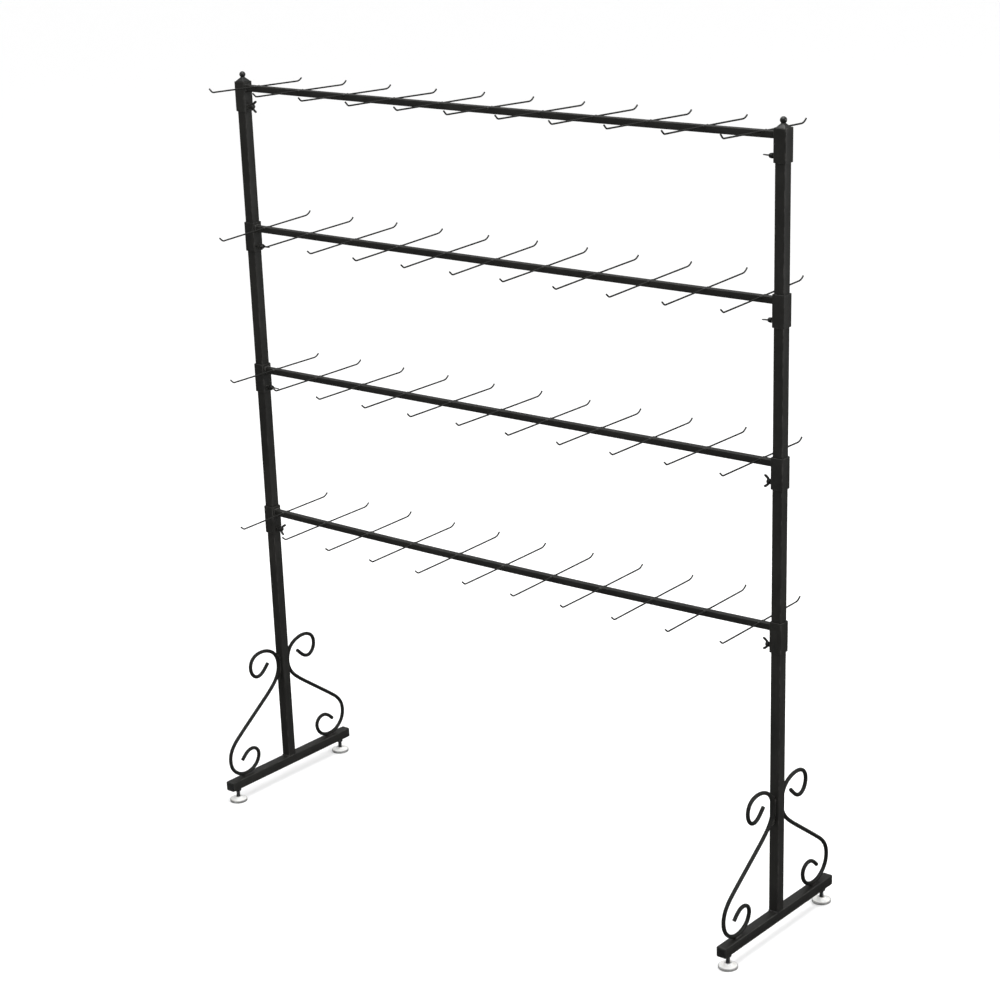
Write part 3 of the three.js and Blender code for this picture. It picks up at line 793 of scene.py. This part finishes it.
        # painted shade: these values mark the pad's side wall and top rim, which the pad material paints grey, partly
        # as dust and partly as shade
        wv = []
        for r, z in prof:
            wv.append(1.0 if (r > 18.2 and z < 4.9) else (0.86 if r > 17.5 and z > 4 else (0.45 if r > 15 or (r < 9 and z > 8) else 0.12)))
        lathe(b, prof, 72, xf=move(cp.x, cp.y, 0), wear_and_painted_light=wv)
        b.object(f"vis_level_pad_{tag}", PAD, f"foot_{tag}", "pad_plastic", [f"level_pad_{tag}"], sharp=30)


# ------------------------------------------------------------------ wing screw, modelled once
def wing_master():
    """Cast wing head fused in one skin: boss plus two wings, tip of the screw at z = 0."""
    b = Build()
    boss = [(0, 9.3), (4.5, 9.3), (4.95, 9.7), (5.0, 10.6), (4.9, 12.4), (4.5, 14.6), (4.15, 16.0), (3.6, 16.65), (0, 16.8)]
    lathe(b, boss, 40)
    outline = [(2.2, 10.6), (4.4, 10.9), (6.2, 12.3), (8.6, 14.8), (10.9, 17.3), (12.1, 19.6), (12.35, 21.9), (11.6, 23.7), (10.2, 24.15),
               (8.9, 23.5), (7.4, 21.3), (5.9, 18.9), (4.3, 16.9), (2.2, 16.0)]
    pts = chaikin([Vector((x, z, 0)) for x, z in outline], 2)
    for s in (-1, 1):
        rings, ws = [], []
        # pillow section: thicker near the boss, rounded rim
        cx = sum(p.x for p in pts) / len(pts)
        cz = sum(p.y for p in pts) / len(pts)
        for k in range(9):
            a = math.pi * (k / 8 - 0.5)
            shrink = 1 - 0.16 * (1 - math.cos(a))
            ring = []
            for p in pts:
                th = (1.45 - 0.035 * max(0.0, p.x - 4)) * (0.86 if p.y > 22 else 1.0)
                x = cx + (p.x - cx) * shrink
                z = cz + (p.y - cz) * shrink
                ring.append((s * x, th * math.sin(a), z))
            rings.append(ring)
        b.rings(rings)
    me = bpy.data.meshes.new("wing_master")
    me.from_pydata([tuple(p) for p in b.v], [], b.f)
    bm = bmesh.new()
    bm.from_mesh(me)
    bmesh.ops.recalc_face_normals(bm, faces=bm.faces)
    bm.to_mesh(me)
    bm.free()
    o = bpy.data.objects.new("wing_master", me)
    bpy.context.scene.collection.objects.link(o)
    rm = o.modifiers.new("fuse", "REMESH")
    rm.mode = "VOXEL"
    rm.voxel_size = 0.38
    sm = o.modifiers.new("cast", "SMOOTH")
    sm.factor = 0.5
    sm.iterations = 6
    dg = bpy.context.evaluated_depsgraph_get()
    ev = o.evaluated_get(dg)
    out = bpy.data.meshes.new_from_object(ev)
    verts = [v.co.copy() for v in out.vertices]
    faces = [tuple(p.vertices) for p in out.polygons]
    # the mask grows towards the wing rims, where fingers rub; the paint lightens it there as wear and painted highlight
    wear_and_painted_light = [min(1.0, max(0.0, (math.hypot(v.x, v.z * 0.0) - 6.0) / 6.0) + 0.25 * max(0.0, v.z - 20) / 4) for v in verts]
    bpy.data.objects.remove(o)
    bpy.data.meshes.remove(me)
    bpy.data.meshes.remove(out)
    return verts, faces, wear_and_painted_light


WING = wing_master()

# angle each wing screw was left at, the same as in the CAD (degrees)
WING_ANGLE = {"1_left": 176, "1_right": 104, "2_left": 74, "2_right": 100,
              "3_left": 70, "3_right": 183, "4_left": 157, "4_right": 180}


# ------------------------------------------------------------------ hook rails
HOOK_R = 1.6
HOOK_RISE = 4.4
HOOK_TILT = {1: -1.85, 2: 2.3, 3: 0.2, 4: 1.4}
# how each rail runs off level and bows, as in the CAD: c0 + c1 u + c2 u^2, u = -1 and 1 on the post axes
RAIL_BOW = {1: (-0.58, 0.44, 1.44), 2: (-0.56, -0.19, 1.72), 3: (0.2, 1.98, 0.44), 4: (-1.89, 2.7, 6.03)}


def lift(tier, x):
    c0, c1, c2 = RAIL_BOW[tier]
    u = x / 650.0
    return c0 + c1 * u + c2 * u * u


def hook_line(seed):
    """Centre line of one double-ended hook in its own plane (y, z), with small shop-bent differences."""
    pts = []
    for s in (-1, 1):
        # the front tips turn up more sharply than the back ones
        straight, R, tip = (123.0, 8.5, 8.0) if s < 0 else (118.4, 20.0, 2.5)
        straight += jitter(0.5, seed, s, "s")
        R += jitter(1.0, seed, s, "r")
        bend = math.radians(43 + jitter(3.0, seed, s, "b"))
        tip += jitter(0.4, seed, s, "t")
        half = [Vector((0, 7.5, 0)), Vector((0, 40, 0)), Vector((0, 80, 0)), Vector((0, 110, 0)), Vector((0, straight - 3, 0))]
        for i in range(0, 11):
            a = bend * i / 10
            half.append(Vector((0, straight + R * math.sin(a), R * (1 - math.cos(a)))))
        e = half[-1]
        for k in (0.35, 0.7, 1.0):
            half.append(e + Vector((0, math.cos(bend), math.sin(bend))) * tip * k)
        half = [Vector((0, s * p.y, p.z)) for p in half]
        pts = (half[::-1] if s < 0 else pts + half) if s < 0 else pts + half
    # the drawn wire springs a little off true
    droop = jitter(0.35, seed, "d")
    return [Vector((0, p.y, HOOK_RISE + p.z + droop * (abs(p.y) / 120) ** 2)) for p in pts]


for tier in TIERS:
    c, lo, hi = mid(f"hook_rail_{tier}")
    cl, ll, hl = mid(f"sleeve_{tier}_left")
    cr, lr, hr = mid(f"sleeve_{tier}_right")
    Z = hr.z - 13.0 - lift(tier, cr.x)
    half = hi.x
    body = f"rail_{tier}"
    HOOKS, FIRST, SPAN = 11, 39.0, cr.x - cl.x
    xs = [cl.x + FIRST + (SPAN - 2 * FIRST) * k / (HOOKS - 1) for k in range(HOOKS)]

    b = Build()
    square_tube(b, 12.7, 1.2, 1.35, -half, half, move(0, 0, Z, Matrix.Rotation(math.pi / 2, 4, "Y")), chamfer=0.2,
                stations=[50.0 * q for q in range(-12, 13)], inner=True)
    for v in b.v:
        v.z += lift(tier, v.x / MM) * MM
    b.object(f"vis_rail_{tier}", RAIL, body, "rail_paint", [f"hook_rail_{tier}"])

    b = Build()
    w = Build()
    for k, x in enumerate(xs):
        line = hook_line(f"{tier}.{k}")
        yaw = math.radians(jitter(0.35, tier, k, "yaw"))
        pitch = math.radians(HOOK_TILT[tier] + jitter(0.25, tier, k, "pitch"))
        rot = Matrix.Rotation(yaw, 4, "Z") @ Matrix.Rotation(pitch, 4, "X")
        rod_with_ends(b, line, HOOK_R, 14, xf=move(x, 0, Z + lift(tier, x), rot), plane=Vector((1, 0, 0)), dome=0.5, end_wear_and_highlight_length=14)
        # weld collar where the wire leaves each face of the rail
        for s in (-1, 1):
            n = 16
            fy = s * 6.35
            size = 1.0 + jitter(0.14, tier, k, s, "size")
            rings, ws = [], []
            for r, y, e in ((1.45, 2.7, .2), (1.95, 2.0, .5), (2.5, 1.2, .6), (2.95, 0.45, .4), (3.2, -0.25, .2), (1.45, -0.3, 0)):
                ring, wr = [], []
                for q in range(n):
                    a = q * TAU / n
                    nz = mnoise.noise(Vector((x * 0.13 + 1.3 * math.cos(a), s * 3 + tier, 1.3 * math.sin(a))))
                    sag = 1.0 - 0.14 * math.sin(a)
                    rr = r if r < 1.5 else 1.5 + (r - 1.5) * size * sag * (1 + 0.35 * nz)
                    yy = y * (1 + 0.25 * nz) if y > 0 else y
                    ring.append((rr * math.cos(a), fy + s * yy, HOOK_RISE + min(rr * math.sin(a), 2.4)))
                    wr.append(e)
                rings.append(ring)
                ws.append(wr)
            w.rings(rings, closed=True, wear_and_painted_light=ws, xf=move(x, 0, Z + lift(tier, x)))
    b.object(f"vis_rail_{tier}_hooks", WIRE, body, "rail_paint", sharp=60)
    w.object(f"vis_rail_{tier}_hook_welds", WELD, body, "rail_paint", sharp=50)

    for side, sx in SIDES:
        cs, ls, hs = mid(f"sleeve_{tier}_{side}")
        tag = f"{tier}_{side}"
        b = Build()
        square_tube(b, 26.0, 1.8, 2.6, ls.z, hs.z, move(cs.x, 0, 0), chamfer=0.45,
                    stations=[(ls.z + hs.z) / 2])
        b.object(f"vis_sleeve_{tag}", BLACK, body, "black_paint", [f"sleeve_{tag}"])

        # bead round the rail end and round the nut
        inner = cs.x - sx * 13.0
        b = Build()
        loop = [Vector((-sx * 0.45, p[0], p[1])) for p in square_loop(13.5, 2.0, 3)]
        bead(b, loop, 1.45, True, 41 + tier + 9 * sx, ripple=1.9, xf=move(inner, 0, Z + lift(tier, inner)))
        cnut, lnut, hnut = mid(f"sleeve_nut_{tag}")
        ZN = cnut.z
        for a0 in (35, 145, 215, 325):
            arc = [Vector((-sx * 0.4, 5.75 * math.cos(math.radians(a0 + d)), 5.75 * math.sin(math.radians(a0 + d)))) for d in (-24, -12, 0, 12, 24)]
            bead(b, arc, 1.05, False, 57 + a0 + tier, ripple=1.7, xf=move(inner, 0, ZN))
        b.object(f"vis_sleeve_welds_{tag}", WELD, body, "black_paint")

        # nut and screw point to the middle of the rack
        turn = Matrix.Rotation(-sx * math.pi / 2, 4, "Y")
        b = Build()
        nut_base = hnut.x if sx > 0 else lnut.x
        hex_nut(b, 10.0, 5.0, 3.2, move(nut_base, 0, ZN, turn @ Matrix.Rotation(math.radians(30), 4, "Z")), n=60)
        b.object(f"vis_sleeve_nut_{tag}", BLACK, body, "black_paint", [f"sleeve_nut_{tag}"])

        lo_s, hi_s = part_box(f"wing_screw_{tag}")
        tip = (hi_s.x if sx > 0 else lo_s.x) / MM
        spin = Matrix.Rotation(math.radians(WING_ANGLE[tag]), 4, "Z")
        b = Build()
        verts, faces, wear_and_painted_light = WING
        xf = move(tip, 0, ZN, turn @ spin)
        b.shell(verts, faces, wear_and_painted_light, xf=xf)
        thread(b, 3.0, 1.0, 0.05, 12.0, xf, n=24, per=8, chamfer=0.8)
        b.object(f"vis_wing_screw_{tag}", SCREW, f"wing_screw_{tag}", "screw_black", [f"wing_screw_{tag}"], sharp=60)


# ------------------------------------------------------------------ stage and light
def stage_floor():
    me = bpy.data.meshes.new("floor")
    n, R = 96, 26.0
    rings = [0.0, 1.0, 2.0, 4.0, 8.0, 16.0, R]
    verts, faces = [(0, 0, 0)], []
    for r in rings[1:]:
        verts += [(r * math.cos(i * TAU / n), r * math.sin(i * TAU / n), 0) for i in range(n)]
    for i in range(n):
        faces.append((0, 1 + i, 1 + (i + 1) % n))
    for k in range(len(rings) - 2):
        a, c = 1 + k * n, 1 + (k + 1) * n
        for i in range(n):
            j = (i + 1) % n
            faces.append((a + i, c + i, c + j, a + j))
    me.from_pydata(verts, [], faces)
    o = bpy.data.objects.new("floor", me)
    bpy.context.scene.collection.objects.link(o)
    m, nt, bsdf = nodes_of("pale_floor")
    bsdf.inputs["Base Color"].default_value = (0.93, 0.93, 0.93, 1)
    bsdf.inputs["Roughness"].default_value = 0.85
    bsdf.inputs["Specular IOR Level"].default_value = 0.1
    me.materials.append(m)
    o.visible_glossy = False

    # white studio shell round the floor: lights everything softly
    me = bpy.data.meshes.new("studio_shell")
    verts, faces = [], []
    rows = 24
    for k in range(rows):
        a = math.pi / 2 * k / rows
        verts += [(R * math.cos(a) * math.cos(i * TAU / n), R * math.cos(a) * math.sin(i * TAU / n), R * math.sin(a)) for i in range(n)]
    verts.append((0, 0, R))
    for k in range(rows - 1):
        for i in range(n):
            j = (i + 1) % n
            faces.append((k * n + i, k * n + j, (k + 1) * n + j, (k + 1) * n + i))
    for i in range(n):
        faces.append(((rows - 1) * n + i, (rows - 1) * n + (i + 1) % n, len(verts) - 1))
    me.from_pydata(verts, [], faces)
    o = bpy.data.objects.new("studio_shell", me)
    bpy.context.scene.collection.objects.link(o)
    m = bpy.data.materials.new("shell_white")
    m.use_nodes = True
    nt = m.node_tree
    nt.nodes.clear()
    e = nt.nodes.new("ShaderNodeEmission")
    e.inputs["Color"].default_value = (1, 1, 1, 1)
    e.inputs["Strength"].default_value = 1.08
    out = nt.nodes.new("ShaderNodeOutputMaterial")
    nt.links.new(e.outputs[0], out.inputs[0])
    me.materials.append(m)
    o.visible_glossy = False


stage_floor()

world = bpy.data.worlds.new("studio")
bpy.context.scene.world = world
world.use_nodes = True
wn = world.node_tree
tc = wn.nodes.new("ShaderNodeTexCoord")
sep = wn.nodes.new("ShaderNodeSeparateXYZ")
wn.links.new(tc.outputs["Generated"], sep.inputs[0])
ramp = wn.nodes.new("ShaderNodeMapRange")
ramp.interpolation_type = "SMOOTHSTEP"
for i, v in zip((1, 2, 3, 4), (-0.35, 0.9, 0.05, 0.60)):
    ramp.inputs[i].default_value = v
wn.links.new(sep.outputs["Z"], ramp.inputs[0])
wn.links.new(ramp.outputs[0], wn.nodes["Background"].inputs["Strength"])
wn.nodes["Background"].inputs["Color"].default_value = (1.0, 1.0, 1.0, 1)


def area(name, at, to, size, power):
    l = bpy.data.lights.new(name, "AREA")
    l.shape = "RECTANGLE"
    l.size, l.size_y = size
    l.energy = power
    o = bpy.data.objects.new(name, l)
    d = Vector(to) - Vector(at)
    o.rotation_euler = d.to_track_quat("-Z", "Y").to_euler()
    o.location = at
    bpy.context.scene.collection.objects.link(o)
    return o


area("key_top", (0.4, -0.6, 4.6), (0, 0, 0.6), (3.4, 2.4), 120)
area("side_right", (4.2, 1.6, 1.9), (0.4, 0, 0.8), (1.2, 2.2), 70)

sc = bpy.context.scene
sc.view_settings.view_transform = "Standard"
sc.view_settings.look = "None"
sc.view_settings.exposure = 0.0
sc.view_settings.gamma = 1.0
